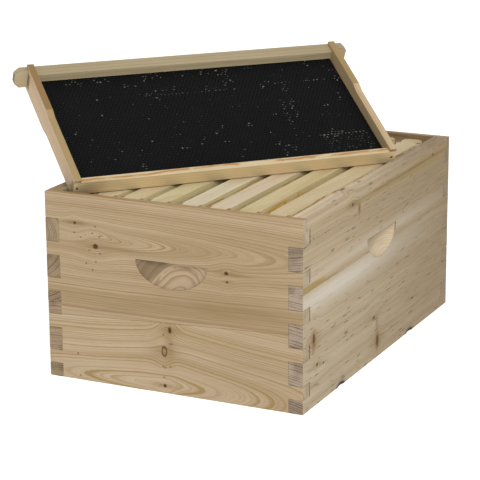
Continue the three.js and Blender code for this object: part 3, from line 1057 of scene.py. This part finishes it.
# Clusters of crumbs: how far along the sheet and up, in mm, and how many crumbs.
WAX_SPOTS = [
    (-167, 207, 5), (-172, 203, 2), (-156, 202, 5), (-131, 205, 3), (-115, 204, 2), (-65, 204, 6),
    (-56, 208, 2), (-46, 207, 3), (-12, 205, 3), (20, 207, 7), (38, 208, 4), (38, 199, 2), (52, 206, 7),
    (84, 208, 3), (136, 199, 1), (175, 207, 3), (198, 203, 2), (207, 188, 3), (-96, 190, 3), (-80, 190, 2),
    (44, 176, 7), (51, 184, 3), (-29, 181, 1), (13, 173, 2), (-61, 160, 4), (-144, 167, 1), (95, 164, 4),
    (206, 171, 5), (196, 138, 3), (195, 127, 2), (75, 125, 1), (-88, 121, 2), (-39, 108, 1), (88, 106, 2),
    (169, 114, 5), (162, 96, 3), (8, 91, 2), (46, 89, 4), (-2, 79, 3), (-23, 73, 2), (-54, 82, 2),
    (-96, 71, 1), (-176, 88, 2), (-192, 108, 2), (-144, 137, 1), (-161, 47, 2), (-150, 60, 1),
    (-187, 46, 1), (-114, 58, 1), (-55, 58, 5), (-29, 63, 1), (4, 58, 2), (-119, 26, 5), (20, 40, 1),
    (17, 27, 2), (72, 66, 1), (74, 48, 5), (88, 41, 4), (93, 33, 3), (77, 28, 5), (104, 57, 1),
    (119, 57, 1), (160, 67, 3), (142, 54, 9), (159, 51, 10), (172, 58, 3), (197, 52, 4),
]
# Lines of crumbs: both ends and how many crumbs.
WAX_STREAKS = [
    ((124, 166), (122, 146), 8), ((125, 135), (118, 108), 12), ((110, 131), (107, 82), 18),
    ((122, 108), (119, 93), 6), ((52, 198), (50, 178), 5), ((140, 54), (206, 54), 26),
    ((94, 173), (140, 171), 8), ((156, 171), (192, 170), 12), ((-70, 173), (-27, 174), 7),
    ((-75, 166), (60, 166), 22), ((180, 18), (140, 60), 10),
]
# A patch and a thin scatter: their reach across and up, how many crumbs, and how large.
WAX_FIELDS = [((135, 208), (16, 62), 90, 0.6), ((-208, 208), (14, 210), 120, 0.45)]
WAX_SPOT_SIZE = 1.0
WAX_STREAK_SIZE = 0.8
WAX_SEED = 8
WAX_RADIUS = (0.6, 1.35)
WAX_STRETCH = (0.7, 1.3)
WAX_FLATNESS = 0.45
WAX_LIFT = 0.15
WAX_SPOT_SPREAD = (2.6, 2.8)
WAX_STREAK_SPREAD = (1.2, 0.8)
WAX_STREAK_UNEVEN = 0.3
WAX_OFF_WALL = 0.5
WAX_LIGHT = tint(110, 109, 96)
WAX_DARK = tint(64, 63, 58)
WAX_CLOUD_STRETCH = (90, 90, 90)
WAX_CLOUDS = (0.35, 0.65)
WAX_GRAIN_STRETCH = (900, 900, 900)
WAX_GRAIN_DEPTH = 0.1 * MM
WAX_UNEVEN = 0.2
WAX_ROUGHNESS = 0.4


def speck(mesh, chance, x, y, z, radius):
    """One flattened crumb of wax."""
    wide, high = (radius * chance.uniform(*WAX_STRETCH) for _ in range(2))
    stretch = Matrix.Diagonal((wide, radius * WAX_FLATNESS, high, 1))
    turn = Matrix.Rotation(chance.uniform(0, math.pi), 4, "Y")
    place = Matrix.Translation((x * MM, y * MM, z * MM)) @ turn @ stretch @ Matrix.Scale(MM, 4)
    bmesh.ops.create_icosphere(mesh, subdivisions=1, radius=1.0, matrix=place)


def wax_places(chance):
    """Where the crumbs lie, in mm, and how large: clusters, streaks, a patch and a thin scatter."""
    spread_x, spread_z = WAX_SPOT_SPREAD
    for x, z, count in WAX_SPOTS:
        for _ in range(count):
            yield chance.gauss(x, spread_x), chance.gauss(z, spread_z), WAX_SPOT_SIZE
    spread_x, spread_z = WAX_STREAK_SPREAD
    for (x0, z0), (x1, z1), count in WAX_STREAKS:
        for step in range(count):
            share = (step + chance.uniform(-WAX_STREAK_UNEVEN, WAX_STREAK_UNEVEN)) / count
            x, z = x0 + (x1 - x0) * share, z0 + (z1 - z0) * share
            yield x + chance.gauss(0, spread_x), z + chance.gauss(0, spread_z), WAX_STREAK_SIZE
    for across, up, count, size in WAX_FIELDS:
        for _ in range(count):
            yield chance.uniform(*across), chance.uniform(*up), size


def on_wall(x, z, low, high):
    """The nearest place where three cells meet, in mm: crumbs stick to the walls."""
    start, base = low.x / MM, low.z / MM
    last_row = int((high.z / MM - base - 2 * CELL_RADIUS) / ROW_STEP)
    last_column = int((high.x - low.x) / MM / CELL_WIDTH)
    row = min(round((z - base - CELL_RADIUS) / ROW_STEP), last_row)
    shift = 0.5 if row % 2 else 0
    column = min(max(round((x - start) / CELL_WIDTH + shift), 1), last_column)
    return start + (column - shift) * CELL_WIDTH, base + row * ROW_STEP + CELL_RADIUS


def wax_material():
    """Grey, cloudy wax with a rough skin."""
    surface = Surface("beeswax_crumbs")
    here = surface.object_point()
    clouds = surface.noise(here, WAX_CLOUD_STRETCH).ramp(*WAX_CLOUDS)
    grain = surface.noise(here, WAX_GRAIN_STRETCH)
    surface.bump(grain, WAX_GRAIN_DEPTH)
    return surface.finish(surface.mix(clouds, WAX_LIGHT, WAX_DARK), grain * WAX_UNEVEN + WAX_ROUGHNESS)


def wax_crumbs():
    """The wax on the leaning sheet, as one piece."""
    place = frame_place(LEANING)
    low, high = extent(LEANING + "_foundation", place)
    chance = random.Random(WAX_SEED)
    mesh = bmesh.new()
    for x, z, size in wax_places(chance):
        radius = chance.uniform(*WAX_RADIUS) * size
        x, z = on_wall(x, z, low, high)
        x, z = chance.gauss(x, WAX_OFF_WALL), chance.gauss(z, WAX_OFF_WALL)
        speck(mesh, chance, x, low.y / MM + WAX_LIFT, z, radius)
    data = mesh_data(mesh, "wax_crumbs")
    data.materials.append(wax_material())
    new_piece(LEANING + "_wax", data, place, LEANING)


# ---------------------------------------------------------------- nails

STEEL = tint(120, 116, 108)
RUST = tint(92, 66, 46)
RUST_STRETCH = (900, 900, 900)
RUSTY = (0.45, 0.7)
RUST_DEPTH = 0.05 * MM
STEEL_METALLIC = 0.85
STEEL_UNEVEN = 0.3
STEEL_ROUGHNESS = 0.3
STEEL_GLOSS = 0.5
NAIL_HEAD = (1.6 * MM, 1.6 * MM, 0.35 * MM)
NAIL_HEAD_SIDES = 12
NAIL_HEAD_RINGS = 6


def nail_steel():
    """Worn steel with some rust."""
    surface = Surface("nail_steel_worn")
    rust = surface.noise(surface.object_point(), RUST_STRETCH, detail=3.0)
    surface.shader.inputs["Metallic"].default_value = STEEL_METALLIC
    surface.bump(rust, RUST_DEPTH)
    colour = surface.mix(rust.ramp(*RUSTY), STEEL, RUST)
    return surface.finish(colour, rust * STEEL_UNEVEN + STEEL_ROUGHNESS, STEEL_GLOSS)


def nail_heads(name, steel):
    """The heads of the two nails under a hung frame's feet."""
    place = frame_place(name)
    mesh = bmesh.new()
    for part in frame_parts(name)[1]:
        low, high = extent(f"{name}_{part}", place)
        head = Matrix.Translation(((low.x + high.x) / 2, 0, 0)) @ Matrix.Diagonal((*NAIL_HEAD, 1))
        bmesh.ops.create_uvsphere(
            mesh, u_segments=NAIL_HEAD_SIDES, v_segments=NAIL_HEAD_RINGS, radius=1.0, matrix=head,
        )
    data = mesh_data(mesh, name + "_nail_heads")
    data.materials.append(steel)
    new_piece(name + "_nail_heads", data, place, name)


# ---------------------------------------------------------------- room

WHITE = (1, 1, 1, 1)
SKY_LIGHT = 0.7
FLOOR_SIZE = 16
FLOOR_GLOW = 0.5
FLOOR_LIGHT = tint(250, 250, 250)
FLOOR_DARK = tint(247, 247, 247)
FLOOR_STRETCH = (40, 40, 40)
FLOOR_ROUGHNESS = 0.9
FLOOR_GLOSS = 0.1
LAMP_SIZE = 0.9
LAMP_POWER = 35
LAMP_PLACE = Vector((1.35, -1.75, 1.55))
LAMP_AIM = Vector((0, 0.1, 0.15))


def white_sky():
    world = bpy.data.worlds.new("white_room")
    world.use_nodes = True
    background = world.node_tree.nodes["Background"]
    background.inputs["Color"].default_value = WHITE
    background.inputs["Strength"].default_value = SKY_LIGHT
    bpy.context.scene.world = world
    bpy.context.scene.view_settings.view_transform = "Standard"


def pale_floor():
    """White paper that glows a little, so that it stays white beside the box."""
    bpy.ops.mesh.primitive_plane_add(size=FLOOR_SIZE)
    floor = bpy.context.object
    floor.name = "floor"
    surface = Surface("floor_paper")
    grain = surface.noise(surface.object_point(), FLOOR_STRETCH)
    surface.finish(surface.mix(grain, FLOOR_LIGHT, FLOOR_DARK), FLOOR_ROUGHNESS, FLOOR_GLOSS)
    surface.shader.inputs["Emission Color"].default_value = WHITE
    surface.shader.inputs["Emission Strength"].default_value = FLOOR_GLOW
    floor.data.materials.append(surface.material)


def soft_lamp():
    """One broad lamp at the front right."""
    lamp = bpy.data.lights.new("soft_box", "AREA")
    lamp.shape = "SQUARE"
    lamp.size = LAMP_SIZE
    lamp.energy = LAMP_POWER
    holder = bpy.data.objects.new("soft_box", lamp)
    bpy.context.scene.collection.objects.link(holder)
    holder.location = LAMP_PLACE
    holder.rotation_euler = (LAMP_AIM - LAMP_PLACE).to_track_quat("-Z", "Y").to_euler()


def camera():
    data = bpy.data.cameras.new("camera")
    data.lens = CAMERA_LENS
    holder = bpy.data.objects.new("camera", data)
    bpy.context.scene.collection.objects.link(holder)
    heading = Matrix.Rotation(CAMERA_HEADING, 3, "Z")
    tilt = Matrix.Rotation(math.pi / 2 - CAMERA_DROP, 3, "X")
    roll = Matrix.Rotation(CAMERA_ROLL, 3, "Z")
    holder.matrix_world = axes(CAMERA_PLACE, heading @ tilt @ roll)
    bpy.context.scene.camera = holder


def build():
    names = [LEANING] + [f"hung_frame_{number + 1}" for number in range(HUNG_FRAMES)]
    steel = nail_steel()
    finish_boards()
    for frame_number, name in enumerate(names):
        finish_bars(name, frame_number)
    finish_foundations(names, black_plastic())
    wax_crumbs()
    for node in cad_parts:
        if node.startswith(LEANING) and node.endswith("_nail"):
            dress(node, steel)
    for name in names[1:]:
        nail_heads(name, steel)


camera()
white_sky()
pale_floor()
soft_lamp()
build()
